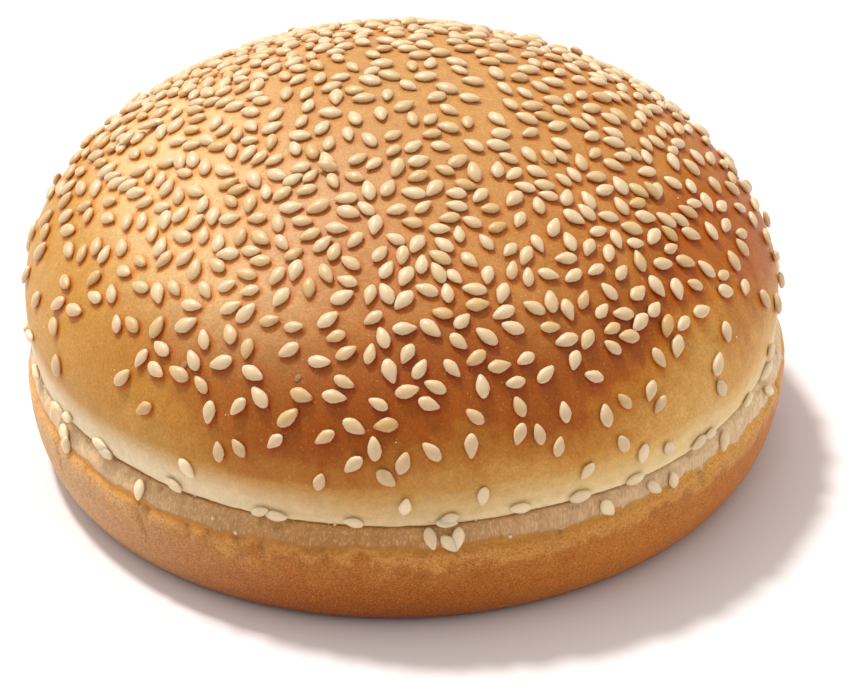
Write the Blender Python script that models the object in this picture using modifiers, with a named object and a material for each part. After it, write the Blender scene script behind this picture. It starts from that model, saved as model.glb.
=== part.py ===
"""Sesame burger bun, one baked piece with its seeds fused to the crust.

The bun stands on its flat base, whose middle is the origin. +Z is up and -Y is the front.
Run with blender --background --python part.py, or from Blender's text editor.
"""

import math
import random

import bmesh
import bpy
from mathutils import Matrix, Vector, noise

MM = 0.001

# Crown: the domed top. Its outline is an ellipse whose shoulders lean in a little.
CROWN_RADIUS = 51.7 * MM  # where the crown is widest
CROWN_WIDEST_Z = 22.6 * MM
CROWN_RISE = 31.0 * MM  # from the widest level to the top
SHOULDER_LEAN = 0.15  # share of the radius lost near the top

# Lip: the crown's lower edge, which overhangs the torn band.
LIP_Z = 16.4 * MM
LIP_INSET = 0.9 * MM  # the lip's lowest point, inwards from the crown's radius
CREASE_INSET = 1.6 * MM  # how deep the crease under the lip goes
CREASE_GAP = 0.4 * MM  # how wide the crease is at its mouth

# Heel: the brown lower part, with a rounded foot and a flat base.
CRUST_LINE_Z = 12.8 * MM  # where the heel's crust ends and the torn band starts
HEEL_RADIUS = 52.4 * MM
HEEL_SHOULDER = 0.9 * MM  # rounding between the heel's side and the torn band
BASE_RADIUS = 47.2 * MM

# Unevenness of hand-shaped dough, each a height or a radius added around the bun.
LIP_WAVES = ((1, 0.20 * MM, 0.0), (2, 0.30 * MM, -1.8), (5, 0.16 * MM, 0.7), (9, 0.10 * MM, 2.1))
CRUST_LINE_WAVES = ((1, 0.6 * MM, -0.2), (2, 0.5 * MM, 2.9), (3, 0.45 * MM, -2.4), (7, 0.18 * MM, 0.4))
HEEL_WAVES = ((1, 0.5 * MM, 0.0), (2, 0.6 * MM, 1.57), (3, 0.2 * MM, 0.5))
DENT_DEPTH = 0.35 * MM
DENT_SIZE = 24.0 * MM

# Sesame seeds: flat drops with one blunt and one pointed end.
SEED_LENGTH = 3.25 * MM
SEED_WIDTH = 1.85 * MM
SEED_THICKNESS = 1.2 * MM
SEED_SPREAD = 0.12  # how much seeds differ in size
SEED_RISE = 0.08 * MM  # from the crust up to the seed's middle plane
SEED_POINT = 0.36  # how strongly one end narrows
SEED_COUNT = 275
SEED_SPACING = 4.1 * MM
SEAM_SEED_COUNT = 26  # these hang along the lip
SPRINKLE = 41  # seed of the random draws

# Fineness of the turned body
AROUND = 40
DOME_STEPS = 11
WALL_STEPS = 5
FOOT_STEPS = 6

CRUST_COLOUR = (0.56, 0.27, 0.09, 1.0)


def clear_scene():
    for thing in list(bpy.data.objects):
        bpy.data.objects.remove(thing)


def wave(theta, waves):
    """Sum of a few sine waves around the bun, each (count, height, phase)."""
    return sum(height * math.cos(count * theta - phase) for count, height, phase in waves)


def smooth(low, high, value):
    """0 below low, 1 above high, and a smooth step between."""
    share = min(max((value - low) / (high - low), 0.0), 1.0)
    return share * share * (3 - 2 * share)


def crown_outline(turn):
    """Radius and height of the crust. A turn of 90 degrees is the top, 0 the widest level, -90 the lip."""
    if turn >= 0:
        lean = 1 - SHOULDER_LEAN * math.sin(turn) ** 2
        return CROWN_RADIUS * math.cos(turn) * lean, CROWN_WIDEST_Z + CROWN_RISE * math.sin(turn)
    radius = CROWN_RADIUS - LIP_INSET * (1 - math.cos(turn))
    return radius, CROWN_WIDEST_Z + (CROWN_WIDEST_Z - LIP_Z) * math.sin(turn)


def foot_outline(turn):
    """Radius and height of the heel's side, from the base's edge at 0 to the widest level at 90 degrees."""
    side_height = CRUST_LINE_Z - HEEL_SHOULDER
    radius = BASE_RADIUS + (HEEL_RADIUS - BASE_RADIUS) * math.sin(turn)
    return radius, side_height * (1 - math.cos(turn))


def bun_profile():
    """The bun's outline as (radius, height), from the top down its outer side to the base's middle."""
    quarter = math.pi / 2
    points = [crown_outline(quarter * (1 - i / DOME_STEPS)) for i in range(DOME_STEPS)]
    points[0] = (0.0, points[0][1])
    points += [crown_outline(-quarter * i / WALL_STEPS) for i in range(WALL_STEPS + 1)]
    crease_radius = CROWN_RADIUS - CREASE_INSET
    band_top_z = LIP_Z - CREASE_GAP
    points.append((crease_radius, LIP_Z - CREASE_GAP / 3))
    points.append((CROWN_RADIUS - LIP_INSET, band_top_z))
    points.append((HEEL_RADIUS - HEEL_SHOULDER * 0.6, CRUST_LINE_Z))
    points += [foot_outline(quarter * (1 - i / FOOT_STEPS)) for i in range(FOOT_STEPS + 1)]
    points.append((0.0, 0.0))
    return points


def uneven(point):
    """Moves a point of the turned body to where the real, slightly lopsided dough has it."""
    theta = math.atan2(point.y, point.x)
    radius = math.hypot(point.x, point.y)
    z = point.z
    at_lip = smooth(CRUST_LINE_Z, LIP_Z - CREASE_GAP, z) * (1 - smooth(LIP_Z, CROWN_WIDEST_Z, z))
    at_crust_line = smooth(CRUST_LINE_Z / 2, CRUST_LINE_Z, z) * (1 - smooth(CRUST_LINE_Z, LIP_Z - CREASE_GAP, z))
    on_heel = 1 - smooth(CRUST_LINE_Z, LIP_Z, z)
    on_side = smooth(0, CROWN_RADIUS, radius)
    lift = at_lip * wave(theta, LIP_WAVES) + at_crust_line * wave(theta, CRUST_LINE_WAVES)
    outwards = on_heel * on_side * wave(theta, HEEL_WAVES)
    dent = DENT_DEPTH * noise.noise(point / DENT_SIZE) * smooth(0, LIP_Z, z)
    grown = (radius + outwards + dent) / max(radius, MM / 100)
    if radius < MM:
        grown = 1.0
    return Vector((point.x * grown, point.y * grown, z + lift + dent * smooth(LIP_Z, CROWN_WIDEST_Z, z)))


def crust_point(turn, theta):
    radius, z = crown_outline(turn)
    return uneven(Vector((radius * math.cos(theta), radius * math.sin(theta), z)))


def crust_frame(turn, theta):
    """The point, the outward normal and the downhill direction of the crust at a turn and an angle."""
    step = 0.01
    here = crust_point(turn, theta)
    downhill = (crust_point(turn - step, theta) - crust_point(turn + step, theta)).normalized()
    around = (crust_point(turn, theta + step) - crust_point(turn, theta - step)).normalized()
    return here, downhill.cross(around).normalized(), downhill


def seed_density(turn):
    """How densely the seeds lie, against the top: thin at the lip, full above the shoulders."""
    return 0.14 + 0.86 * smooth(math.radians(-5), math.radians(68), turn)


def area_share(turn):
    """Crust area per turn, against the widest level, so that a random turn can be weighed by area."""
    step = 0.01
    radius, z = crown_outline(turn)
    radius_up, z_up = crown_outline(turn + step)
    return radius * math.hypot(radius_up - radius, z_up - z) / step / (CROWN_RADIUS * CROWN_RADIUS)


def sprinkled_spots(draw):
    """Evenly spread places on the crown, as (turn, theta, heading)."""
    spots, taken = [], []
    while len(spots) < SEED_COUNT:
        turn = math.radians(draw.uniform(-30, 87))
        theta = draw.uniform(-math.pi, math.pi)
        if draw.random() > seed_density(turn) * area_share(turn):
            continue
        here = crust_point(turn, theta)
        if any((here - other).length < SEED_SPACING for other in taken):
            continue
        taken.append(here)
        spread = 0.7 + 2.4 * smooth(0, math.radians(45), turn)
        spots.append((turn, theta, draw.uniform(-spread, spread)))
    return spots


def seam_spots(draw):
    """Seeds that rolled down and stuck along the lip."""
    spots = []
    for i in range(SEAM_SEED_COUNT):
        theta = 2 * math.pi * (i + draw.uniform(-0.3, 0.3)) / SEAM_SEED_COUNT
        turn = math.radians(draw.uniform(-62, -48))
        spots.append((turn, theta, math.pi / 2 + draw.uniform(-0.5, 0.5)))
    return spots


def seed_mesh():
    """One seed along X, 24 triangles: a low ball pressed flat and drawn to a point."""
    mesh = bpy.data.meshes.new("sesame_seed")
    shape = bmesh.new()
    bmesh.ops.create_uvsphere(shape, u_segments=6, v_segments=3, radius=0.5)
    for vertex in shape.verts:
        narrowing = 1 - SEED_POINT * smooth(-0.1, 0.5, vertex.co.x)
        vertex.co.y *= narrowing * SEED_WIDTH
        vertex.co.x *= SEED_LENGTH
        vertex.co.z *= SEED_THICKNESS
    shape.to_mesh(mesh)
    shape.free()
    return mesh


def place_seed(mesh, collection, spot, size, number):
    turn, theta, heading = spot
    here, normal, downhill = crust_frame(turn, theta)
    along = Matrix.Rotation(heading, 3, normal) @ downhill
    across = normal.cross(along).normalized()
    frame = Matrix((along, across, normal)).transposed().to_4x4()
    seed = bpy.data.objects.new(f"seed_{number:03d}", mesh)
    seed.matrix_world = Matrix.Translation(here + normal * SEED_RISE) @ frame @ Matrix.Scale(size, 4)
    collection.objects.link(seed)


def sprinkle_seeds(collection):
    draw = random.Random(SPRINKLE)
    mesh = seed_mesh()
    for number, (turn, theta, heading) in enumerate(sprinkled_spots(draw) + seam_spots(draw)):
        size = 1 + draw.uniform(-SEED_SPREAD, SEED_SPREAD)
        spot = (turn, theta, heading + math.pi * (number % 2))  # every second seed points uphill
        place_seed(mesh, collection, spot, size, number)


def turned_body():
    """The bun's profile turned about Z, as a mesh object."""
    points = bun_profile()
    mesh = bpy.data.meshes.new("bun_profile")
    edges = [(i, i + 1) for i in range(len(points) - 1)]
    mesh.from_pydata([(radius, 0, z) for radius, z in points], edges, [])
    profile = bpy.data.objects.new("bun_profile", mesh)
    bpy.context.scene.collection.objects.link(profile)
    screw = profile.modifiers.new("turn", "SCREW")
    screw.steps = screw.render_steps = AROUND
    screw.use_merge_vertices = True
    screw.merge_threshold = 0.00001
    bpy.context.view_layer.update()
    turned = profile.evaluated_get(bpy.context.evaluated_depsgraph_get())
    body_mesh = bpy.data.meshes.new_from_object(turned)
    bpy.data.objects.remove(profile)
    for vertex in body_mesh.vertices:
        vertex.co = uneven(vertex.co)
    return bpy.data.objects.new("bun", body_mesh)


def crust_material():
    material = bpy.data.materials.new("golden_crust")
    material.use_nodes = True
    shader = material.node_tree.nodes["Principled BSDF"]
    shader.inputs["Base Color"].default_value = CRUST_COLOUR
    shader.inputs["Roughness"].default_value = 0.5
    shader.inputs["Metallic"].default_value = 0.0
    return material


def fuse(body, collection):
    """Joins the seeds to the body, keeps the result as the body's mesh, and removes the loose seeds."""
    union = body.modifiers.new("seeds", "BOOLEAN")
    union.operation = "UNION"
    union.operand_type = "COLLECTION"
    union.collection = collection
    union.solver = "EXACT"
    bpy.context.view_layer.update()
    joined = body.evaluated_get(bpy.context.evaluated_depsgraph_get())
    mesh = bpy.data.meshes.new_from_object(joined)
    body.modifiers.clear()
    body.data = mesh
    for seed in list(collection.objects):
        bpy.data.objects.remove(seed)
    bpy.data.collections.remove(collection)


def main():
    clear_scene()
    part = bpy.data.collections.new("sesame_burger_bun")
    seeds = bpy.data.collections.new("seeds")
    bpy.context.scene.collection.children.link(part)
    bpy.context.scene.collection.children.link(seeds)
    body = turned_body()
    part.objects.link(body)
    sprinkle_seeds(seeds)
    fuse(body, seeds)
    body.data.name = "bun"
    body.data.materials.clear()
    body.data.materials.append(crust_material())
    body.data.shade_smooth()
    body.data.set_sharp_from_angle(angle=math.radians(40))


main()
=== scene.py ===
# Sesame burger bun: the baked crust, the torn seam and the seeds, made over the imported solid
import math
import random

import bpy
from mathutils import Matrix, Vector, noise


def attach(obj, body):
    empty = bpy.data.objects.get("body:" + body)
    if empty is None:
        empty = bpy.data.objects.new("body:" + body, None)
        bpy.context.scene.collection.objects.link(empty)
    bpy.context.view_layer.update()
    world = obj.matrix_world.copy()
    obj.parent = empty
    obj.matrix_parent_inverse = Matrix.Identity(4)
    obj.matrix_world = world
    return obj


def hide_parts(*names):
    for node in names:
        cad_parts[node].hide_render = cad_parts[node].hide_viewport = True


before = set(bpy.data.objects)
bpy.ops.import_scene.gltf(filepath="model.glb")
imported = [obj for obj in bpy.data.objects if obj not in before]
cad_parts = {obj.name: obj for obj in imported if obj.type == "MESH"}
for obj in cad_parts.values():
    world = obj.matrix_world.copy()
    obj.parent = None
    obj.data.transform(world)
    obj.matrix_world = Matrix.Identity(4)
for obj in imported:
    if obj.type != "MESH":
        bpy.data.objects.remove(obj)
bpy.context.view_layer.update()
mm = 0.001


# Node building: an input is a socket to link or a value to set, given in order or by name
def put(tree, kind, inputs=(), **settings):
    made = tree.nodes.new(kind)
    for name, value in settings.items():
        setattr(made, name, value)
    sockets = [socket for socket in made.inputs if socket.enabled]
    pairs = inputs.items() if isinstance(inputs, dict) else enumerate(inputs)
    for key, value in pairs:
        socket = sockets[key] if isinstance(key, int) else next(s for s in sockets if s.name == key)
        if isinstance(value, bpy.types.NodeSocket):
            tree.links.new(value, socket)
        else:
            socket.default_value = value
    return next(socket for socket in made.outputs if socket.enabled)


def maths(tree, operation, *values):
    return put(tree, "ShaderNodeMath", values, operation=operation)


def addUp(tree, *values):
    total = values[0]
    for value in values[1:]:
        total = maths(tree, "ADD", total, value)
    return total


def product(tree, *values):
    total = values[0]
    for value in values[1:]:
        total = maths(tree, "MULTIPLY", total, value)
    return total


# 0 below low, 1 above high, or start and end; with low over high it falls instead
def step(tree, value, low, high, start=0.0, end=1.0):
    if low > high:
        low, high, start, end = high, low, end, start
    sizes = {"Value": value, "From Min": low, "From Max": high, "To Min": start, "To Max": end}
    return put(tree, "ShaderNodeMapRange", sizes, interpolation_type="SMOOTHSTEP")


def between(tree, value, start, full, fullEnd, end):
    return product(tree, step(tree, value, start, full), step(tree, value, end, fullEnd))


def vectorMaths(tree, operation, *values):
    return put(tree, "ShaderNodeVectorMath", values, operation=operation)


def stretched(tree, place, factors):
    return vectorMaths(tree, "MULTIPLY", place, factors)


# Soft noise with lumps of the given size in metres, from 0 to 1
def lumps(tree, place, size, detail=2.0, roughness=0.5, seed=0.0):
    place = vectorMaths(tree, "ADD", place, (seed, seed * 0.7, -seed))
    sizes = {"Vector": place, "Scale": 1 / size, "Detail": detail, "Roughness": roughness}
    return put(tree, "ShaderNodeTexNoise", sizes)


# The same noise, from -0.5 to 0.5
def swings(tree, place, *sizes):
    return maths(tree, "SUBTRACT", lumps(tree, place, *sizes), 0.5)


# A mesh attribute, as a material reads it and as a geometry tree does
def painted(tree, name):
    return put(tree, "ShaderNodeAttribute", attribute_name=name).node.outputs["Fac"]


def stored(tree, name):
    return put(tree, "GeometryNodeInputNamedAttribute", {"Name": name}, data_type="FLOAT")


def objectPlace(tree):
    return put(tree, "ShaderNodeTexCoord").node.outputs["Object"]


def objectShape(tree, thing):
    return put(tree, "GeometryNodeObjectInfo", {"Object": thing}).node.outputs["Geometry"]


def openTree(name, sizes):
    tree = bpy.data.node_groups.new(name, "GeometryNodeTree")
    tree.interface.new_socket("Geometry", in_out="INPUT", socket_type="NodeSocketGeometry")
    kinds = {int: "NodeSocketInt", float: "NodeSocketFloat", bpy.types.Material: "NodeSocketMaterial",
             bpy.types.Object: "NodeSocketObject", bpy.types.Collection: "NodeSocketCollection"}
    for label, value in sizes.items():
        tree.interface.new_socket(label, in_out="INPUT", socket_type=kinds[type(value)])
    tree.interface.new_socket("Geometry", in_out="OUTPUT", socket_type="NodeSocketGeometry")
    return tree, tree.nodes.new("NodeGroupInput").outputs


def closeTree(tree, geometry, given):
    real = put(tree, "GeometryNodeRealizeInstances", (geometry,))
    smoothed = put(tree, "GeometryNodeSetShadeSmooth", {"Geometry": real, "Shade Smooth": True})
    finished = put(tree, "GeometryNodeSetMaterial", {"Geometry": smoothed, "Material": given["Material"]})
    tree.links.new(finished, tree.nodes.new("NodeGroupOutput").inputs[0])
    return tree


# Runs a tree on an object and keeps the result as its plain mesh
def grow(thing, makeTree, sizes):
    tree = makeTree(sizes)
    modifier = thing.modifiers.new(tree.name, "NODES")
    modifier.node_group = tree
    for item in tree.interface.items_tree:
        if item.in_out == "INPUT" and item.name in sizes:
            modifier[item.identifier] = sizes[item.name]
    bpy.context.view_layer.update()
    graph = bpy.context.evaluated_depsgraph_get()
    mesh = bpy.data.meshes.new_from_object(thing.evaluated_get(graph), preserve_all_data_layers=True,
                                           depsgraph=graph)
    thing.modifiers.clear()
    thing.data = mesh
    mesh.name = thing.name
    return thing


def newObject(name, mesh):
    made = bpy.data.objects.new(name, mesh)
    bpy.context.scene.collection.objects.link(made)
    return made


def newMaterial(name):
    material = bpy.data.materials.new(name)
    material.use_nodes = True
    tree = material.node_tree
    shader = tree.nodes["Principled BSDF"]
    return material, tree, shader


def setShader(shader, values):
    for name, value in values.items():
        shader.inputs[name].default_value = value


def addValues(mesh, name, values):
    mesh.attributes.new(name, "FLOAT", "POINT").data.foreach_set("value", values)


# A mesh of loose points, each with its own values
def pointObject(name, points, columns):
    mesh = bpy.data.meshes.new(name)
    mesh.from_pydata(points, [], [])
    for label, values in columns.items():
        addValues(mesh, label, values)
    return newObject(name, mesh)


def colourRamp(tree, value, stops):
    colour = put(tree, "ShaderNodeValToRGB", {"Fac": value})
    band = colour.node.color_ramp
    band.interpolation = "EASE"
    while len(band.elements) < len(stops):
        band.elements.new(1.0)
    for element, (place, shade) in zip(band.elements, stops):
        element.position = place
        element.color = (*shade, 1.0)
    return colour


def blended(tree, share, first, second, mode="MIX"):
    inputs = {"Factor": share, "A": first, "B": second}
    for key in ("A", "B"):
        if isinstance(inputs[key], tuple) and len(inputs[key]) == 3:
            inputs[key] = (*inputs[key], 1.0)
    return put(tree, "ShaderNodeMix", inputs, data_type="RGBA", blend_type=mode)


# A colour made lighter and darker in lumps
def mottledColour(tree, colour, place, size, low, high):
    spread = {"Value": lumps(tree, place, size), "To Min": low, "To Max": high}
    return vectorMaths(tree, "MULTIPLY", colour, put(tree, "ShaderNodeMapRange", spread))


# The bun. Its baked form is in millimetres; waves are (times around, height, phase).
bun = {
    "crownRadius": 51.7,
    "crownWidestZ": 22.6,
    "crownRise": 31.0,
    "shoulderLean": 0.15,
    "lipZ": 16.4,
    "lipInset": 0.9,
    "creaseInset": 1.6,
    "creaseGap": 0.4,
    "crustLineZ": 12.8,
    "heelRadius": 52.4,
    "heelShoulder": 0.9,
    "baseRadius": 47.2,
    "bandBulge": 0.40,
    "crustLedge": 0.10,
    "lipWaves": ((1, 0.20, 0.0), (2, 0.30, -1.8), (5, 0.16, 0.7), (9, 0.10, 2.1)),
    "crustLineWaves": ((1, 0.6, -0.2), (2, 0.5, 2.9), (3, 0.45, -2.4), (7, 0.18, 0.4)),
    "heelWaves": ((1, 0.5, 0.0), (2, 0.6, 1.57), (3, 0.2, 0.5)),
    "dentDepth": 0.35,
    "dentSize": 24.0,
    # how finely it is turned: columns round it and rows down each stretch
    "columns": 640,
    "domeRows": 100,
    "wallRows": 14,
    "creaseRows": 3,
    "bandRows": 14,
    "shoulderRows": 3,
    "footRows": 12,
    "baseRows": 3,
    # folds that run down the heel from the crust line: degrees around, length in mm, lean in degrees
    "folds": (
        (-152.5, 6.5, 2.0), (-131.5, 7.0, 2.5), (-129.0, 3.5, -1.0), (-122.5, 3.0, 1.8), (-119.0, 4.5, 2.4),
        (-114.0, 4.5, 0.8), (-110.5, 4.0, 1.6), (-101.0, 2.2, 0.5),
        (-67.0, 3.0, -1.0), (-41.0, 4.0, 1.5), (-12.0, 5.0, -1.5), (19.0, 6.0, 1.0), (47.0, 3.5, 2.0),
        (71.0, 5.5, -2.0), (98.0, 4.0, 1.0), (127.0, 6.5, -1.0), (149.0, 3.0, 1.0), (171.0, 5.0, 2.0),
    ),
    "foldWidth": 0.42,
    "foldDepth": 0.45,
    # where the lip stands off the torn band: degrees around, half the width in degrees, height in mm
    "partings": (
        (-145.0, 8.0, 0.25), (-133.0, 6.0, 0.30), (-121.0, 5.0, 0.20), (-30.0, 8.0, 0.15),
        (14.0, 9.0, 0.3), (62.0, 12.0, 0.25), (112.0, 8.0, 0.2), (163.0, 10.0, 0.3),
    ),
    # fine relief, in metres: dough lumps, the ragged lip, the torn band's fibres and pits
    "relief": {
        "Lump height": 0.22 * mm,
        "Dimple depth": 0.06 * mm,
        "Lip raggedness": 0.50 * mm,
        "Fibre depth": 0.20 * mm,
        "Pit depth": 0.40 * mm,
        "Heel roughness": 0.16 * mm,
    },
    # stations run down the crust: 0 top, 1 widest level, 2 lip, 3 top of the torn band, 4 crust line,
    # 5 edge of the base, 6 middle of the base
    "bakedStations": (
        (0.00, (0.45, 0.226, 0.070)),
        (0.40, (0.48, 0.235, 0.070)),
        (0.52, (0.46, 0.205, 0.054)),
        (0.62, (0.405, 0.155, 0.027)),
        (0.72, (0.325, 0.094, 0.009)),
        (0.82, (0.302, 0.070, 0.003)),
        (0.90, (0.328, 0.077, 0.003)),
        (0.98, (0.425, 0.155, 0.015)),
        (1.10, (0.52, 0.255, 0.053)),
        (1.25, (0.56, 0.330, 0.105)),
        (1.45, (0.62, 0.425, 0.190)),
        (1.75, (0.70, 0.540, 0.300)),
        (2.05, (0.64, 0.46, 0.235)),
        (2.60, (0.50, 0.22, 0.050)),
        (3.05, (0.54, 0.27, 0.080)),
        (3.30, (0.49, 0.245, 0.072)),
        (3.68, (0.43, 0.20, 0.055)),
        (3.84, (0.42, 0.18, 0.034)),
        (3.96, (0.45, 0.180, 0.028)),
        (4.10, (0.58, 0.260, 0.056)),
        (4.22, (0.42, 0.138, 0.014)),
        (4.42, (0.355, 0.088, 0.004)),
        (4.60, (0.325, 0.070, 0.002)),
        (5.00, (0.225, 0.040, 0.001)),
        (6.00, (0.36, 0.15, 0.05)),
    ),
    # a side of the bun is (starts, full) in mm to the right; one side took less heat, and on the light and
    # far sides the colour is painted lighter to stand in for fill light
    "paleSide": (-10, -54),
    "lightSide": (0, 32),
    "farSide": (20, 46),
    "highSide": (-6, 36),
    # shades on one side: side, stations (starts, full from, full to, ends), share, colour
    "sideShades": (
        # painted sheen: the dome's lit side made paler
        ((-4, -32), (0.15, 0.35, 0.58, 0.80), 0.92, (0.67, 0.45, 0.22)),     # pale dome
        # painted shade: the dome's side away from the light made darker
        ((0, 32), (0.18, 0.36, 0.52, 0.60), 0.55, (0.42, 0.17, 0.035)),      # warm dome
        ((-10, -54), (0.50, 0.72, 0.95, 1.2), 0.90, (0.51, 0.265, 0.048)),   # pale belt
        ((0, -34), (1.0, 1.5, 2.1, 2.3), 0.75, (0.80, 0.68, 0.46)),          # pale lip
    ),
    # shades at both ends of the torn seam, with wandering edges: stations, share, colour
    "endShades": (
        ((2.7, 3.0, 3.68, 3.82), 0.90, (0.69, 0.50, 0.30)),       # pale band
        ((3.74, 3.84, 4.02, 4.12), 0.85, (0.66, 0.31, 0.055)),    # honey line over the heel
    ),
    "paleHeel": (0.62, 0.38, 0.17),
    # painted light on the light and far sides, multiplied into the colour
    "lighter": (1.18, 1.26, 1.30),
    # painted light thrown up from the floor onto the low heel of the light side
    "paintedFloorBounce": (0.78, 0.27, 0.024),
    # painted shadow of the seeds on the crust, multiplied into its colour
    "paintedSeedShadow": (1.00, 0.57, 0.18),
    # the painted shadow round a seed: how far it reaches, and how far it lies to the shaded side and lower
    "seedShadowReach": 0.70 * mm,
    "seedShadowSide": 0.22 * mm,
    "seedShadowUp": 0.30 * mm,
    "fleckColour": (0.74, 0.38, 0.09),
    "poreColour": (0.20, 0.050, 0.004),
    # pale specks on the crown, painted glints
    "glintSpeckColour": (0.74, 0.46, 0.18),
    # painted shade for the hollows between the torn fibres
    "paintedFibreShade": (0.46, 0.22, 0.075),
    "strand": (0.84, 0.64, 0.42),
    # sizes of the lumps in the colours
    "patchSize": 22.0 * mm,
    "edgeSize": 2.4 * mm,
    "raggedSize": 1.1 * mm,
    "wanderSize": 4.5 * mm,
    "mottleSize": 1.6 * mm,
    "tuftSize": 1.0 * mm,
    "grainSize": 0.36 * mm,
    "speckSize": 0.30 * mm,
    "fibreSize": 0.26 * mm,
    "poreSize": 0.26 * mm,
    "fleckSize": 0.16 * mm,
    "crustShader": {"Roughness": 0.46, "Specular IOR Level": 0.22, "Subsurface Weight": 0.35,
                    "Subsurface Radius": (1.0, 0.45, 0.20), "Subsurface Scale": 1.2 * mm},
}

crownRadius = bun["crownRadius"] * mm
crownWidestZ = bun["crownWidestZ"] * mm
crownRise = bun["crownRise"] * mm
lipZ = bun["lipZ"] * mm
lipInset = bun["lipInset"] * mm
creaseGap = bun["creaseGap"] * mm
crustLineZ = bun["crustLineZ"] * mm
heelRadius = bun["heelRadius"] * mm
heelShoulder = bun["heelShoulder"] * mm
baseRadius = bun["baseRadius"] * mm
quarterTurn = math.pi / 2


def wave(theta, waves):
    return mm * sum(height * math.cos(count * theta - phase) for count, height, phase in waves)


def smooth(low, high, value):
    share = min(max((value - low) / (high - low), 0.0), 1.0)
    return share * share * (3 - 2 * share)


# Radius and height of the crust; a turn of 90 degrees is the top, 0 the widest level, -90 the lip
def crownOutline(turn):
    if turn >= 0:
        lean = 1 - bun["shoulderLean"] * math.sin(turn) ** 2
        return crownRadius * math.cos(turn) * lean, crownWidestZ + crownRise * math.sin(turn)
    radius = crownRadius - lipInset * (1 - math.cos(turn))
    return radius, crownWidestZ + (crownWidestZ - lipZ) * math.sin(turn)


def footOutline(turn):
    radius = baseRadius + (heelRadius - baseRadius) * math.sin(turn)
    return radius, (crustLineZ - heelShoulder) * (1 - math.cos(turn))


# Moves a point of the turned bun to where the lopsided dough has it
def uneven(point):
    theta = math.atan2(point.y, point.x)
    radius = math.hypot(point.x, point.y)
    z = point.z
    bandTop = lipZ - creaseGap
    atLip = smooth(crustLineZ, bandTop, z) * (1 - smooth(lipZ, crownWidestZ, z))
    atCrustLine = smooth(crustLineZ / 2, crustLineZ, z) * (1 - smooth(crustLineZ, bandTop, z))
    onHeel = 1 - smooth(crustLineZ, lipZ, z)
    onSide = smooth(0, crownRadius, radius)
    lift = atLip * wave(theta, bun["lipWaves"]) + atCrustLine * wave(theta, bun["crustLineWaves"])
    outwards = onHeel * onSide * wave(theta, bun["heelWaves"])
    dent = bun["dentDepth"] * mm * noise.noise(point / (bun["dentSize"] * mm)) * smooth(0, lipZ, z)
    grown = (radius + outwards + dent) / max(radius, mm / 100)
    if radius < mm:
        grown = 1.0
    return Vector((point.x * grown, point.y * grown, z + lift + dent * smooth(lipZ, crownWidestZ, z)))


# Points (radius, height, station) from the top down the outer side to the middle of the base
def bunProfile():
    creaseRadius = crownRadius - bun["creaseInset"] * mm
    lip = Vector((crownRadius - lipInset, lipZ))
    crease = Vector((creaseRadius, lipZ - creaseGap / 3))
    bandTop = Vector((crownRadius - lipInset, lipZ - creaseGap))
    crustLine = Vector((heelRadius - heelShoulder * 0.6, crustLineZ))
    points = []
    for i in range(bun["domeRows"]):
        share = i / bun["domeRows"]
        points.append((*crownOutline(quarterTurn * (1 - share)), share))
    points[0] = (0.0, points[0][1], 0.0)
    for i in range(bun["wallRows"]):
        share = i / bun["wallRows"]
        points.append((*crownOutline(-quarterTurn * share), 1 + share))
    for i in range(2 * bun["creaseRows"]):
        share = i / bun["creaseRows"]
        corner = lip.lerp(crease, share) if share < 1 else crease.lerp(bandTop, share - 1)
        points.append((corner.x, corner.y, 2 + share / 2))
    for i in range(bun["bandRows"]):
        share = i / bun["bandRows"]
        corner = bandTop.lerp(crustLine, share)
        bulge = bun["bandBulge"] * mm * math.sin(math.pi * share) ** 0.7
        ledge = bun["crustLedge"] * mm * smooth(0.55, 0.9, share)
        points.append((corner.x + bulge - ledge, corner.y, 3 + share))
    shoulderEnd = Vector(footOutline(quarterTurn))
    for i in range(bun["shoulderRows"]):
        share = i / bun["shoulderRows"]
        corner = crustLine.lerp(shoulderEnd, share)
        points.append((corner.x, corner.y, 4 + 0.15 * share))
    for i in range(bun["footRows"] + 1):
        share = i / bun["footRows"]
        points.append((*footOutline(quarterTurn * (1 - share)), 4.15 + 0.85 * share))
    for i in range(bun["baseRows"]):
        share = (i + 1) / bun["baseRows"]
        points.append((baseRadius * (1 - share), 0.0, 5 + share))
    return points


def profileObject():
    points = bunProfile()
    mesh = bpy.data.meshes.new("bunProfile")
    edges = [(i, i + 1) for i in range(len(points) - 1)]
    mesh.from_pydata([(radius, 0, z) for radius, z, station in points], edges, [])
    addValues(mesh, "station", [station for radius, z, station in points])
    return newObject("bunBody", mesh)


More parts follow.
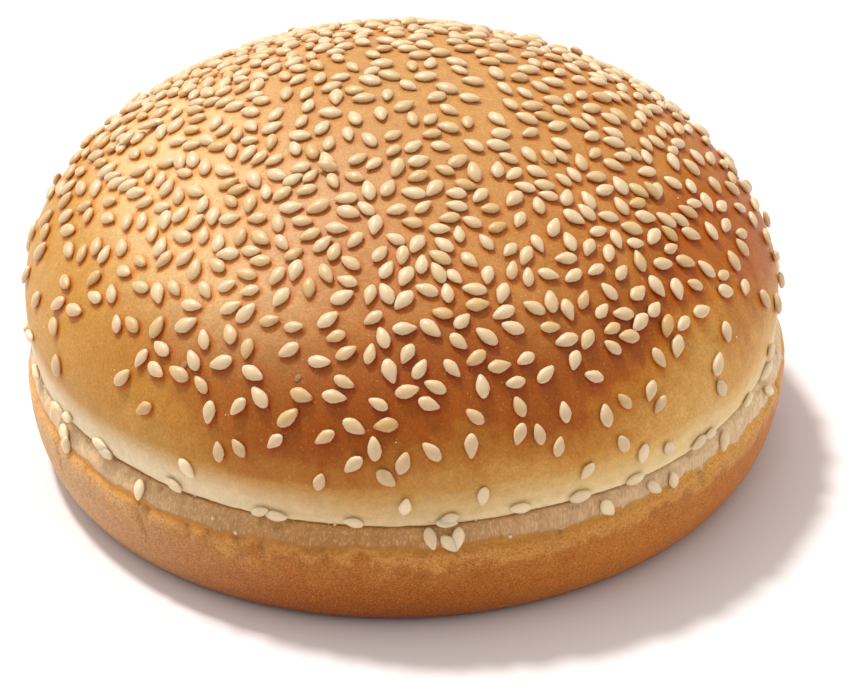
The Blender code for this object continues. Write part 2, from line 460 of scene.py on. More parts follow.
# Turns the profile about Z: each point of a grid takes its row's place and its column's angle
def turningTree(sizes):
    tree, given = openTree("turnProfile", sizes)
    profile = given["Geometry"]
    rows = put(tree, "GeometryNodeAttributeDomainSize", {"Geometry": profile})
    across = maths(tree, "ADD", given["Columns"], 1.0)
    grid = put(tree, "GeometryNodeMeshGrid", {"Vertices X": across, "Vertices Y": rows})
    grid = put(tree, "GeometryNodeFlipFaces", {"Mesh": grid})
    number = put(tree, "GeometryNodeInputIndex")
    row = maths(tree, "MODULO", number, rows)
    column = maths(tree, "FLOOR", maths(tree, "DIVIDE", maths(tree, "ADD", number, 0.5), rows))
    angle = maths(tree, "DIVIDE", product(tree, column, 2 * math.pi), given["Columns"])
    spot = put(tree, "GeometryNodeSampleIndex",
               {"Geometry": profile, "Value": put(tree, "GeometryNodeInputPosition"), "Index": row},
               data_type="FLOAT_VECTOR")
    turned = put(tree, "ShaderNodeVectorRotate", {"Vector": spot, "Angle": angle}, rotation_type="Z_AXIS")
    body = put(tree, "GeometryNodeSetPosition", {"Geometry": grid, "Position": turned})
    station = put(tree, "GeometryNodeSampleIndex",
                  {"Geometry": profile, "Value": stored(tree, "station"), "Index": row}, data_type="FLOAT")
    body = put(tree, "GeometryNodeStoreNamedAttribute",
               {"Geometry": body, "Name": "station", "Value": station}, data_type="FLOAT")
    body = put(tree, "GeometryNodeMergeByDistance", {"Geometry": body, "Distance": 0.001 * mm})
    return closeTree(tree, body, given)


def angleApart(first, second):
    return (first - second + math.pi) % (2 * math.pi) - math.pi


# How far a fold presses the heel in at a point, from 0 to 1
def foldDepth(theta, z):
    deepest = 0.0
    below = crustLineZ + 0.4 * mm - z
    for degrees, length, lean in bun["folds"]:
        if below < 0 or below > length * mm:
            continue
        down = below / (length * mm)
        middle = math.radians(degrees + lean * down)
        aside = abs(angleApart(theta, middle)) * heelRadius / (bun["foldWidth"] * mm)
        if aside < 3:
            deepest = max(deepest, math.exp(-aside * aside) * (1 - down) ** 0.6)
    return deepest


def partingHeight(theta):
    height = 0.0
    for degrees, halfWidth, rise in bun["partings"]:
        aside = angleApart(theta, math.radians(degrees)) / math.radians(halfWidth)
        height += rise * mm * math.exp(-aside * aside)
    return height


# Moves the turned body's points to the uneven form and adds its folds and partings
def shapeByHand(mesh):
    stations = [0.0] * len(mesh.vertices)
    mesh.attributes["station"].data.foreach_get("value", stations)
    cracks = [0.0] * len(mesh.vertices)
    for number, (vertex, station) in enumerate(zip(mesh.vertices, stations)):
        point = uneven(vertex.co)
        theta = math.atan2(point.y, point.x)
        if 4.0 <= station < 4.9:
            cracks[number] = foldDepth(theta, point.z)
            inward = bun["foldDepth"] * mm * cracks[number]
            point.x -= math.cos(theta) * inward
            point.y -= math.sin(theta) * inward
        elif 1.4 < station < 3.0:
            parting = partingHeight(theta)
            point.z += parting * smooth(1.4, 2.0, station) * (1 - smooth(2.0, 2.5, station))
            inward = parting * smooth(2.0, 2.5, station) * (1 - smooth(2.5, 3.0, station))
            point.x -= math.cos(theta) * inward
            point.y -= math.sin(theta) * inward
        vertex.co = point
    addValues(mesh, "crack", cracks)
    mesh.update()


# Raises the lumps, the ragged edges and the torn fibres; the tree's inputs are the sizes in bun["relief"]
def reliefTree(sizes):
    tree, given = openTree("breadRelief", sizes)
    place = put(tree, "GeometryNodeInputPosition")
    normal = put(tree, "GeometryNodeInputNormal")
    station = stored(tree, "station")
    onCrown = step(tree, station, 2.0, 1.8)
    onBand = between(tree, station, 2.6, 3.05, 3.75, 4.0)
    onHeel = between(tree, station, 4.0, 4.2, 4.8, 5.0)
    nearLip = between(tree, station, 1.72, 1.98, 2.05, 2.5)
    nearCrustLine = between(tree, station, 3.6, 3.95, 4.05, 4.3)
    underLip = between(tree, station, 2.8, 3.0, 3.2, 3.5)

    bumps = {}
    sorts = (("lump", 9.0, 1.0), ("dimple", 2.6, 2.0), ("rag", 2.2, 4.0), ("heel", 2.2, 4.0),
             ("ledge", 1.5, 2.0))
    for number, (label, size, detail) in enumerate(sorts):
        bumps[label] = swings(tree, place, size * mm, detail, 0.55, 1.7 * (number + 1))
    sway = put(tree, "ShaderNodeCombineXYZ", {"X": product(tree, bumps["lump"], 2.0 * mm)})
    upright = vectorMaths(tree, "ADD", stretched(tree, place, (1, 1, 0.10)), sway)
    fibre = swings(tree, upright, 0.8 * mm, 3.0, 0.6, 5.0)
    pitPlace = stretched(tree, place, (1, 1, 0.55))
    pits = put(tree, "ShaderNodeTexVoronoi", {"Vector": pitPlace, "Scale": 1 / (1.7 * mm)})
    pitShare = step(tree, lumps(tree, place, 3.0 * mm, 2.0, 0.5, 9.0), 0.50, 0.62)
    pitted = product(tree, step(tree, pits, 0.30, 0.10), pitShare, maths(tree, "ADD", underLip, 0.35))

    outward = addUp(
        tree,
        product(tree, bumps["lump"], given["Lump height"], onCrown),
        product(tree, bumps["dimple"], given["Dimple depth"], onCrown),
        product(tree, fibre, given["Fibre depth"], onBand, 2.0),
        product(tree, pitted, given["Pit depth"], onBand, -1.0),
        product(tree, bumps["heel"], given["Heel roughness"], onHeel),
        product(tree, bumps["ledge"], given["Heel roughness"], nearCrustLine, 2.0),
    )
    lift = addUp(tree, product(tree, bumps["rag"], given["Lip raggedness"], nearLip),
                 product(tree, bumps["rag"], given["Lip raggedness"], nearCrustLine, 1.3))
    rise = put(tree, "ShaderNodeCombineXYZ", {"Z": lift})
    offset = vectorMaths(tree, "ADD", vectorMaths(tree, "SCALE", normal, outward), rise)
    body = put(tree, "GeometryNodeSetPosition", {"Geometry": given["Geometry"], "Offset": offset})
    return closeTree(tree, body, given)


def crustMaterial():
    material, tree, shader = newMaterial("bakedCrust")
    place = objectPlace(tree)
    across = put(tree, "ShaderNodeSeparateXYZ", (place,))
    station = painted(tree, "station")
    onCrown = step(tree, station, 1.9, 1.6)
    onBand = between(tree, station, 2.6, 3.0, 3.85, 4.0)
    onHeel = step(tree, station, 3.98, 4.15)

    def onSide(side):
        return step(tree, across, side[0] * mm, side[1] * mm)

    def zone(*stations):
        return between(tree, station, *stations)

    # the colours wander up and down; on one side the brown belt sits higher and the torn band is deeper
    highSide = onSide(bun["highSide"])
    nearLine = zone(3.3, 3.75, 4.15, 4.5)
    upright = stretched(tree, place, (1, 1, 0.5))
    shifted = addUp(
        tree, station,
        product(tree, swings(tree, place, bun["patchSize"], 3.0), onCrown, 0.55),
        product(tree, swings(tree, place, bun["edgeSize"], 3.0), 0.16),
        product(tree, swings(tree, upright, bun["raggedSize"], 4.0, 0.7, 2.0), nearLine, 0.30),
        product(tree, swings(tree, place, bun["wanderSize"], 2.0, 0.5, 13.0), nearLine, 0.70),
        product(tree, highSide, zone(0.3, 0.5, 1.1, 1.7), 0.13),
        product(tree, highSide, zone(3.6, 3.9, 4.12, 4.32), -0.20),
    )
    last = bun["bakedStations"][-1][0]
    baked = colourRamp(tree, maths(tree, "DIVIDE", shifted, last),
                       [(number / last, shade) for number, shade in bun["bakedStations"]])

    for side, stations, share, shade in bun["sideShades"]:
        laid = product(tree, onSide(side), zone(*stations), share)
        baked = blended(tree, laid, baked, shade)
    paleSide = onSide(bun["paleSide"])
    ends = maths(tree, "MAXIMUM", paleSide, product(tree, highSide, 0.80))
    for stations, share, shade in bun["endShades"]:
        baked = blended(tree, product(tree, ends, between(tree, shifted, *stations), share), baked, shade)
    baked = blended(tree, product(tree, paleSide, onHeel, 0.85), baked, bun["paleHeel"])
    # painted light: the light and far sides are made lighter, and the low heel on the light side warmer,
    # standing in for fill light and for light thrown up from the floor
    lightSide = onSide(bun["lightSide"])
    lighter = maths(tree, "MAXIMUM", product(tree, lightSide, zone(0.70, 0.88, 2.3, 2.8)),
                    product(tree, onSide(bun["farSide"]), zone(0.48, 0.62, 4.1, 4.2)))
    baked = blended(tree, lighter, baked, bun["lighter"], "MULTIPLY")
    paintedFloorBounce = product(tree, lightSide, zone(4.15, 4.4, 4.8, 5.0), 0.45)
    baked = blended(tree, paintedFloorBounce, baked, bun["paintedFloorBounce"])

    # painted shadow: the crust below each seed, on its shaded side, is made darker
    seedShadowed = product(tree, step(tree, painted(tree, "seedGap"), bun["seedShadowReach"], 0.0),
                     zone(-0.3, 0.7, 0.8, 1.4))
    baked = blended(tree, seedShadowed, baked, bun["paintedSeedShadow"], "MULTIPLY")

    # places round the bun, for marks that run along it: distance around, height
    ahead = put(tree, "ShaderNodeSeparateXYZ", (place,)).node.outputs
    around = product(tree, maths(tree, "ARCTAN2", ahead["X"], product(tree, ahead["Y"], -1.0)), heelRadius)
    along = put(tree, "ShaderNodeCombineXYZ", (product(tree, around, 0.60), ahead["Z"]))

    # fine grain all over, pale flecks and dark pores on the heel, pale specks on the crown as painted
    # glints, and painted shade in the hollows between the torn fibres
    grain = lumps(tree, place, bun["grainSize"], 2.0, 0.6, 3.1)
    mottle = lumps(tree, place, bun["mottleSize"], 3.0, 0.6, 7.3)
    mottleSwing = maths(tree, "SUBTRACT", mottle, 0.5)
    bend = put(tree, "ShaderNodeCombineXYZ", {"Y": product(tree, mottleSwing, 0.5 * mm)})
    fleck = lumps(tree, vectorMaths(tree, "ADD", along, bend), bun["fleckSize"], 2.0, 0.5, 11.0)
    pores = lumps(tree, stretched(tree, along, (1.6, 1.0, 1.0)), bun["poreSize"], 2.0, 0.6, 17.0)
    specks = lumps(tree, place, bun["speckSize"], 1.0, 0.5, 21.0)
    fibre = lumps(tree, stretched(tree, place, (1.0, 1.0, 0.09)), bun["fibreSize"], 3.0, 0.6, 5.0)
    strands = between(tree, shifted, 2.6, 3.0, 3.66, 3.84)
    marks = (
        (fibre, 0.50, 0.34, strands, 0.40, bun["paintedFibreShade"]),
        (fibre, 0.50, 0.68, strands, 0.36, bun["strand"]),
        (fleck, 0.50, 0.66, onHeel, 0.45, bun["fleckColour"]),
        (pores, 0.50, 0.36, onHeel, 0.40, bun["poreColour"]),
        (specks, 0.68, 0.76, onCrown, 0.35, bun["glintSpeckColour"]),
    )
    for field, start, full, where, share, colour in marks:
        baked = blended(tree, product(tree, step(tree, field, start, full), where, share), baked, colour)
    nearLip = zone(0.9, 1.3, 2.0, 2.3)
    calm = addUp(tree, 1.0, product(tree, onBand, -0.8), product(tree, nearLip, -0.6),
                 product(tree, onHeel, 0.10))
    tuft = swings(tree, stretched(tree, place, (1.0, 1.0, 0.3)), bun["tuftSize"], 1.0, 0.5, 8.0)
    # the shade below also darkens the folds by their crack value: painted shade in the creases
    shade = product(
        tree,
        addUp(tree, 1.0, product(tree, maths(tree, "SUBTRACT", grain, 0.5), calm, 0.75)),
        addUp(tree, 1.0, product(tree, mottleSwing, 0.36)),
        addUp(tree, 1.0, product(tree, tuft, onBand, 0.45)),
        addUp(tree, 1.0, product(tree, painted(tree, "crack"), -0.28)),
    )
    tree.links.new(vectorMaths(tree, "MULTIPLY", baked, shade), shader.inputs["Base Color"])

    setShader(shader, bun["crustShader"])
    height = addUp(tree, product(tree, grain, calm, 0.05 * mm), product(tree, mottle, 0.05 * mm),
                   product(tree, fibre, onBand, 0.15 * mm), product(tree, fleck, onHeel, 0.05 * mm),
                   product(tree, pores, onHeel, 0.05 * mm))
    bump = put(tree, "ShaderNodeBump", {"Strength": 1.0, "Distance": 1.0, "Height": height})
    tree.links.new(bump, shader.inputs["Normal"])
    return material


def makeBody():
    material = crustMaterial()
    body = grow(profileObject(), turningTree, {"Columns": bun["columns"], "Material": material})
    shapeByHand(body.data)
    return grow(body, reliefTree, {**bun["relief"], "Material": material}), material


# The sesame seeds, with lengths in millimetres
sesame = {
    "length": 3.05,
    "width": 1.74,
    "thickness": 1.12,
    "spread": 0.12,
    "rise": 0.40,
    "overRise": 0.48,
    "shapes": 8,
    "draws": 41,
    "wideCount": 275,
    "wideSpacing": 4.1,
    "wideTurns": (-30, 87),
    "lipTurns": (-62, -48),
    "lipCount": 26,
    # rounds of laying seeds between the others, each as (tries, gap to be kept in mm)
    "rounds": ((26000, 0.45), (36000, 0.22), (40000, 0.08), (60000, -0.06)),
    "bandStep": 5,
    "moreLipCount": 16,
    "overCount": 12,
    "overTurns": (25, 72),
    "overAside": 1.5,
    # they fell in patches, and towards the top most of them lie alike
    "patchSize": 11.0,
    "patchiness": 0.75,
    "alikeTurns": (40, 65),
    "alikeShare": 0.6,
    # they fell closer on the front and back of the dome, and further up on one side: degrees around
    "evenShare": 0.24,
    "fullFront": 0.75,
    "fullFrontAt": -88,
    "fullTop": 0.16,
    "fullTopAt": -150,
    "topFrom": 46,
    "topFull": 62,
    # (turn in degrees, seeds in a square centimetre), from below the widest level to the top
    "crowding": ((-40, 0.95), (-5, 1.5), (7, 2.2), (15, 3.8), (22, 5.9), (27, 7.4), (37, 9.5), (52, 10.8),
                 (62, 9.7), (72, 8.2), (90, 7.8)),
    # seeds that rolled down onto the torn band: degrees around, height in mm, heading in degrees
    "bandSeeds": (
        (-149.8, 14.8, 60), (-148.6, 13.4, 20), (-130.9, 14.6, 10), (-86.0, 15.4, 15), (-82.2, 14.9, -10),
        (-83.4, 14.2, 80), (-59.5, 15.0, 5), (-51.0, 15.2, 40), (-47.0, 14.7, 12), (-34.8, 15.3, -30),
        (-18.0, 14.6, 50), (23.0, 15.0, 20), (58.0, 14.4, 75), (104.0, 15.1, -25), (141.0, 14.6, 35),
        (172.0, 15.2, 10),
    ),
    "cream": (0.640, 0.482, 0.285),
    "rim": (0.70, 0.555, 0.37),
    "paintedLightCream": (0.84, 0.69, 0.46),
    "toasted": (0.53, 0.325, 0.11),
    "tip": (0.46, 0.25, 0.08),
    # how brown a seed is, from 0 to 1: middle and spread; those at the seam are painted paler, standing in
    # for more light on them
    "toast": (0.14, 0.30),
    "seamPaintedLight": (-1.0, -0.4),
    "tilt": 0.10,
    "turnSeed": 5,
    "seedShader": {"Roughness": 0.38, "Specular IOR Level": 0.5, "Subsurface Weight": 0.55,
                   "Subsurface Radius": (1.0, 0.62, 0.26), "Subsurface Scale": 1.0 * mm},
}


def crustPoint(turn, theta):
    radius, z = crownOutline(turn)
    return uneven(Vector((radius * math.cos(theta), radius * math.sin(theta), z)))


def seedDensity(turn):
    return 0.14 + 0.86 * smooth(math.radians(-5), math.radians(68), turn)


# Crust area for a small turn, against the widest level
def areaShare(turn):
    stepUp = 0.01
    radius, z = crownOutline(turn)
    radiusUp, zUp = crownOutline(turn + stepUp)
    return radius * math.hypot(radiusUp - radius, zUp - z) / stepUp / (crownRadius * crownRadius)


# The seeds that lie apart, as (turn, theta, heading)
def wideSpots(draw):
    spots, taken = [], []
    while len(spots) < sesame["wideCount"]:
        turn = math.radians(draw.uniform(*sesame["wideTurns"]))
        theta = draw.uniform(-math.pi, math.pi)
        if draw.random() > seedDensity(turn) * areaShare(turn):
            continue
        here = crustPoint(turn, theta)
        if any((here - other).length < sesame["wideSpacing"] * mm for other in taken):
            continue
        taken.append(here)
        spread = 0.7 + 2.4 * smooth(0, math.radians(45), turn)
        spots.append((turn, theta, draw.uniform(-spread, spread)))
    return spots


# The seeds that stuck along the lip
def lipSpots(draw, count):
    spots = []
    for i in range(count):
        theta = 2 * math.pi * (i + draw.uniform(-0.3, 0.3)) / count
        turn = math.radians(draw.uniform(*sesame["lipTurns"]))
        spots.append((turn, theta, math.pi / 2 + draw.uniform(-0.5, 0.5)))
    return spots


# A seed as three discs along its length, to tell whether two seeds would lie on each other
def seedDiscs(here, turn, theta, heading):
    stepDown = 0.01
    downhill = (crustPoint(turn - stepDown, theta) - here).normalized()
    around = (crustPoint(turn, theta + stepDown) - here).normalized()
    along = (downhill * math.cos(heading) + around * math.sin(heading)) * sesame["length"] * mm * 0.28
    middle, end = sesame["width"] * mm * 0.49, sesame["width"] * mm * 0.36
    return (here - along, end), (here, middle), (here + along, end)


def crowding(degrees):
    known = sesame["crowding"]
    for (low, lowValue), (high, highValue) in zip(known, known[1:]):
        if degrees <= high:
            return lowValue + (highValue - lowValue) * (degrees - low) / (high - low)
    return known[-1][1]


# How many seeds each band of turn still lacks, given those that lie there
def seedsLacking(spots):
    lacking = {}
    wide = sesame["bandStep"]
    for low in range(-40, 90, wide):
        middle = low + wide / 2
        area = 2 * math.pi * crownRadius ** 2 * areaShare(math.radians(middle)) * math.radians(wide)
        there = sum(low <= math.degrees(turn) < low + wide for turn, theta, heading in spots)
        lacking[low] = round(crowding(middle) * area * 1e4) - there
    return lacking


# Seeds near a point, kept by cells so that only the nearest have to be looked at
class SeedCells:
    def __init__(self, size):
        self.size = size
        self.cells = {}

    def cell(self, point):
        return tuple(math.floor(value / self.size) for value in point)

    def add(self, discs):
        self.cells.setdefault(self.cell(discs[1][0]), []).append(discs)

    def near(self, point):
        x, y, z = self.cell(point)
        for i in (x - 1, x, x + 1):
            for j in (y - 1, y, y + 1):
                for k in (z - 1, z, z + 1):
                    yield from self.cells.get((i, j, k), ())


def seedShare(degrees, theta):
    top = smooth(sesame["topFrom"], sesame["topFull"], degrees)
    ahead = math.cos(theta - math.radians(sesame["fullFrontAt"])) ** 4
    upper = math.cos(theta - math.radians(sesame["fullTopAt"]))
    return sesame["evenShare"] + sesame["fullFront"] * (1 - top) * ahead + sesame["fullTop"] * top * upper


# Fills in between the seeds that lie apart, closely enough to touch but hardly to cut
def closeSpots(draw, spots):
    laid = SeedCells(sesame["length"] * mm)
    for turn, theta, heading in spots:
        laid.add(seedDiscs(crustPoint(turn, theta), turn, theta, heading))
    found = []
    lacking = seedsLacking(spots)
    narrowest = sesame["width"] * mm * 0.72
    gaps = [gap * mm for tries, gap in sesame["rounds"] for attempt in range(tries)]
    for gap in gaps:
        degrees = draw.uniform(-40, 90)
        band = math.floor(degrees / sesame["bandStep"]) * sesame["bandStep"]
        theta = draw.uniform(-math.pi, math.pi)
        spread = 0.7 + 2.4 * smooth(0, 40, degrees)
        heading = draw.uniform(-spread, spread)
        if draw.random() < sesame["alikeShare"] * smooth(*sesame["alikeTurns"], degrees):
            heading = draw.gauss(0, 0.6) - theta
        if lacking.get(band, 0) <= 0:
            continue
        turn = math.radians(degrees)
        here = crustPoint(turn, theta)
        patch = 1 + sesame["patchiness"] * noise.noise(here / (sesame["patchSize"] * mm))
        if draw.random() > seedShare(degrees, theta) * patch:
            continue
        near = list(laid.near(here))
        if any((here - other[1][0]).length < narrowest for other in near):
            continue
        discs = seedDiscs(here, turn, theta, heading)
        if any((a - b).length < wideA + wideB + gap
               for other in near for a, wideA in other for b, wideB in discs):
            continue
        laid.add(discs)
        lacking[band] -= 1
        found.append((turn, theta, heading))
    print("close seeds", len(found), "still lacking", sum(max(count, 0) for count in lacking.values()))
    return found


# A few seeds that came to lie across others, near the top
def overSpots(draw, spots):
    found = []
    while len(found) < sesame["overCount"]:
        turn, theta, heading = draw.choice(spots)
        lowest, highest = sesame["overTurns"]
        if not lowest <= math.degrees(turn) <= highest:
            continue
        aside = sesame["overAside"] * mm / crownRadius
        way = draw.uniform(-math.pi, math.pi)
        found.append((turn + aside * math.sin(way), theta + aside * math.cos(way) / math.cos(turn),
                      heading + draw.uniform(0.6, 2.4)))
    return found


# One seed along X: round behind, drawn out to a blunt point at +X, a low lens in section
def seedMesh(number, draw):
    around = 14
    rings = ((0.62, 0.40), (0.90, 0.21), (1.0, 0.0), (0.84, -0.26))
    length, width, thickness = (sesame[key] * mm for key in ("length", "width", "thickness"))
    narrowing = draw.uniform(0.20, 0.46)
    backNarrowing = draw.uniform(0.0, 0.22)
    plump = draw.uniform(0.92, 1.08)
    bend = draw.uniform(-0.04, 0.04)
    points, faces, alongs, rims = [], [], [], []

    def addPoint(angle, spread, height):
        x = 0.5 * math.cos(angle)
        y = 0.5 * abs(math.sin(angle)) * (1 - narrowing * smooth(-0.15, 0.5, x)
                                          - backNarrowing * smooth(-0.1, -0.5, x))
        y = math.copysign(y * 1.04, math.sin(angle))
        low = 1 - 0.35 * smooth(0.2, 0.5, x * spread)
        sideways = y * spread * plump + bend * (1 - 4 * x * x * spread * spread)
        points.append((x * spread * length, sideways * width, height * thickness * low))
        alongs.append(x * spread + 0.5)
        rims.append(spread)

    addPoint(math.pi, 0, 0.5)
    for spread, height in rings:
        for i in range(around):
            addPoint(2 * math.pi * i / around, spread, height)
    addPoint(math.pi, 0, -0.42)
    last = len(points) - 1
    for i in range(around):
        after = (i + 1) % around
        faces.append((0, 1 + i, 1 + after))
        for ring in range(len(rings) - 1):
            start = 1 + ring * around
            faces.append((start + i, start + around + i, start + around + after, start + after))
        start = 1 + (len(rings) - 1) * around
        faces.append((start + i, last, start + after))
    mesh = bpy.data.meshes.new(f"seedShape{number}")
    mesh.from_pydata(points, [], faces)
    addValues(mesh, "along", alongs)
    addValues(mesh, "rim", rims)
    return mesh


def seedShapes(draw):
    shapes = bpy.data.collections.new("seedShapes")
    for number in range(sesame["shapes"]):
        shapes.objects.link(bpy.data.objects.new(f"seedShape{number}", seedMesh(number, draw)))
    return shapes


def seedMaterial():
    material, tree, shader = newMaterial("sesameSeed")
    place = objectPlace(tree)
    toast = painted(tree, "toast")
    colour = blended(tree, step(tree, painted(tree, "rim"), 0.70, 0.95), sesame["cream"], sesame["rim"])
    # below 0 a seed is painted paler, standing in for light on the seeds low on the bun
    colour = blended(tree, product(tree, toast, -1.0), colour, sesame["paintedLightCream"])
    colour = blended(tree, toast, colour, sesame["toasted"])
    # even a pale seed is a little browned at its point
    browned = maths(tree, "MULTIPLY_ADD", toast, 1.1, 0.20)
    atPoint = step(tree, painted(tree, "along"), 0.82, 1.0)
    colour = blended(tree, product(tree, atPoint, browned), colour, sesame["tip"])
    coloured = mottledColour(tree, colour, place, 0.8 * mm, 0.92, 1.06)
    tree.links.new(coloured, shader.inputs["Base Color"])
    setShader(shader, sesame["seedShader"])
    bump = put(tree, "ShaderNodeBump", {"Strength": 0.6, "Distance": 0.05 * mm,
                                        "Height": lumps(tree, place, 0.5 * mm)})
    tree.links.new(bump, shader.inputs["Normal"])
    return material


# Puts a tree's points on the crust, stood off by the rise, and gives the crust's normal with them
def seated(tree, given, rise):
    crust = objectShape(tree, given["Body"])
    nearest = put(tree, "GeometryNodeProximity", {"Geometry": crust}, target_element="FACES")
    normal = put(tree, "GeometryNodeSampleNearestSurface",
                 {"Mesh": crust, "Value": put(tree, "GeometryNodeInputNormal"),
                  "Sample Position": put(tree, "GeometryNodeInputPosition")}, data_type="FLOAT_VECTOR")
    seat = vectorMaths(tree, "ADD", nearest, vectorMaths(tree, "SCALE", normal, rise))
    return put(tree, "GeometryNodeMeshToPoints", {"Mesh": given["Geometry"], "Position": seat}), normal


def turnedBy(tree, rotation, axis, angle):
    turn = put(tree, "FunctionNodeAxisAngleToRotation", {"Axis": axis, "Angle": angle})
    return put(tree, "FunctionNodeRotateRotation", {"Rotation": rotation, "Rotate By": turn},
               rotation_space="LOCAL")


def drawnBetween(tree, low, high, seed):
    sizes = {"Min": low, "Max": high, "ID": put(tree, "GeometryNodeInputIndex"), "Seed": seed}
    return put(tree, "FunctionNodeRandomValue", sizes, data_type="FLOAT")


# Lays a seed shape on the body at each point, flat on the crust and turned to the point's heading
def seedTree(sizes):
    tree, given = openTree("sprinkleSeeds", sizes)
    over = stored(tree, "over")
    points, normal = seated(tree, given, addUp(tree, given["Rise"], product(tree, over, given["Over rise"])))
    outOfTop = stretched(tree, put(tree, "GeometryNodeInputPosition"), (1, 1, 0))
    upright = put(tree, "FunctionNodeAlignRotationToVector", {"Vector": normal}, axis="Z")
    downhill = put(tree, "FunctionNodeAlignRotationToVector", {"Rotation": upright, "Vector": outOfTop},
                   axis="X", pivot_axis="Z")
    turned = turnedBy(tree, downhill, (0, 0, 1), stored(tree, "heading"))
    steepest = product(tree, given["Tilt"], addUp(tree, 1.0, product(tree, over, 2.0)))
    for number, axis in enumerate(((1, 0, 0), (0, 1, 0))):
        tilt = drawnBetween(tree, product(tree, steepest, -1.0), steepest,
                            maths(tree, "ADD", given["Seed"], float(number)))
        turned = turnedBy(tree, turned, axis, tilt)
    shapeSet = put(tree, "GeometryNodeCollectionInfo",
                   {"Collection": given["Shapes"], "Separate Children": True, "Reset Children": True})
    laid = put(tree, "GeometryNodeInstanceOnPoints",
               {"Points": points, "Instance": shapeSet, "Pick Instance": True, "Rotation": turned,
                "Scale": stored(tree, "size")})
    return closeTree(tree, laid, given)


def makeSeeds(body):
    draw = random.Random(sesame["draws"])
    spots = wideSpots(draw) + lipSpots(draw, sesame["lipCount"])
    spread = sesame["spread"]
    sizes = [1 + draw.uniform(-spread, spread) for spot in spots]
    spots += closeSpots(draw, spots)
    spots += lipSpots(draw, sesame["moreLipCount"])
    flat = len(spots)
    spots += overSpots(draw, spots)
    overs = [0.0] * flat + [1.0] * (len(spots) - flat)
    points = [crustPoint(turn, theta) for turn, theta, heading in spots]
    # every second seed points uphill
    headings = [spot[2] + math.pi * (number % 2) for number, spot in enumerate(spots)]
    for degrees, height, heading in sesame["bandSeeds"]:
        theta = math.radians(degrees)
        points.append(Vector((heelRadius * math.cos(theta), heelRadius * math.sin(theta), height * mm)))
        headings.append(math.radians(heading))
        overs.append(0.0)
    sizes += [1 + draw.uniform(-spread, spread) for point in points[len(sizes):]]
    toasts = [min(max(draw.gauss(*sesame["toast"]), 0.0), 0.95) for point in points]
    # seeds below the widest level are painted paler, as if better lit
    for number, point in enumerate(points):
        if point.z < crownWidestZ:
            toasts[number] = draw.uniform(*sesame["seamPaintedLight"])
    print("seeds laid", len(points))
    seeds = pointObject("sesameSeeds", points, {"heading": headings, "size": sizes, "toast": toasts,
                                                "over": overs})
    return grow(seeds, seedTree,
                {"Body": body, "Shapes": seedShapes(draw), "Rise": sesame["rise"] * mm,
                 "Over rise": sesame["overRise"] * mm, "Tilt": sesame["tilt"], "Seed": sesame["turnSeed"],
                 "Material": seedMaterial()})


# Loose bits, sizes in millimetres. A sort is (count, smallest, largest, thickness against width,
# lowest and highest turn in degrees on the crown, share of brown seed hull in the colour).
crumbLook = {
    "draws": 7,
    "sorts": (
        (34, 0.20, 0.34, 0.80, 4, 62, 0.0),
        (30, 0.24, 0.55, 0.70, -86, -66, 0.1),
        (9, 0.80, 1.30, 0.22, 14, 60, 1.0),
    ),
    "bandCount": 26,
    "bandSizes": (0.25, 0.70),
    "bandHeights": (13.4, 15.6),
    "bandFlatness": 0.7,
    "raggedness": 0.45,
    "turnSeed": 3,
    "pale": (0.78, 0.62, 0.40),
    "hull": (0.36, 0.16, 0.045),
}


def crumbMaterial():
    material, tree, shader = newMaterial("breadCrumb")
    colour = blended(tree, painted(tree, "hull"), crumbLook["pale"], crumbLook["hull"])
    coloured = mottledColour(tree, colour, objectPlace(tree), 0.3 * mm, 0.75, 1.2)
    tree.links.new(coloured, shader.inputs["Base Color"])
    setShader(shader, {"Roughness": 0.75})
    return material


# Sets a small angular bit on the crust at each point, pressed in a little and turned at random
def crumbTree(sizes):
    tree, given = openTree("scatterCrumbs", sizes)
    size = stored(tree, "size")
    flat = stored(tree, "flat")
    points, normal = seated(tree, given, product(tree, size, flat, 0.3))
    upright = put(tree, "FunctionNodeAlignRotationToVector", {"Vector": normal}, axis="Z")
    turned = turnedBy(tree, upright, (0, 0, 1), drawnBetween(tree, 0.0, 2 * math.pi, given["Seed"]))
    bit = put(tree, "GeometryNodeMeshIcoSphere", {"Radius": 0.5, "Subdivisions": 2})
    scale = put(tree, "ShaderNodeCombineXYZ", (size, product(tree, size, 0.72), product(tree, size, flat)))
    laid = put(tree, "GeometryNodeInstanceOnPoints",
               {"Points": points, "Instance": bit, "Rotation": turned, "Scale": scale})
    real = put(tree, "GeometryNodeRealizeInstances", (laid,))
    rough = put(tree, "ShaderNodeTexNoise",
                {"Vector": put(tree, "GeometryNodeInputPosition"), "Scale": 1 / (0.35 * mm), "Detail": 1.0})
    sway = vectorMaths(tree, "SUBTRACT", rough.node.outputs["Color"], (0.5, 0.5, 0.5))
    offset = vectorMaths(tree, "SCALE", sway, product(tree, size, flat, given["Raggedness"], 2.0))
    broken = put(tree, "GeometryNodeSetPosition", {"Geometry": real, "Offset": offset})
    return closeTree(tree, broken, given)


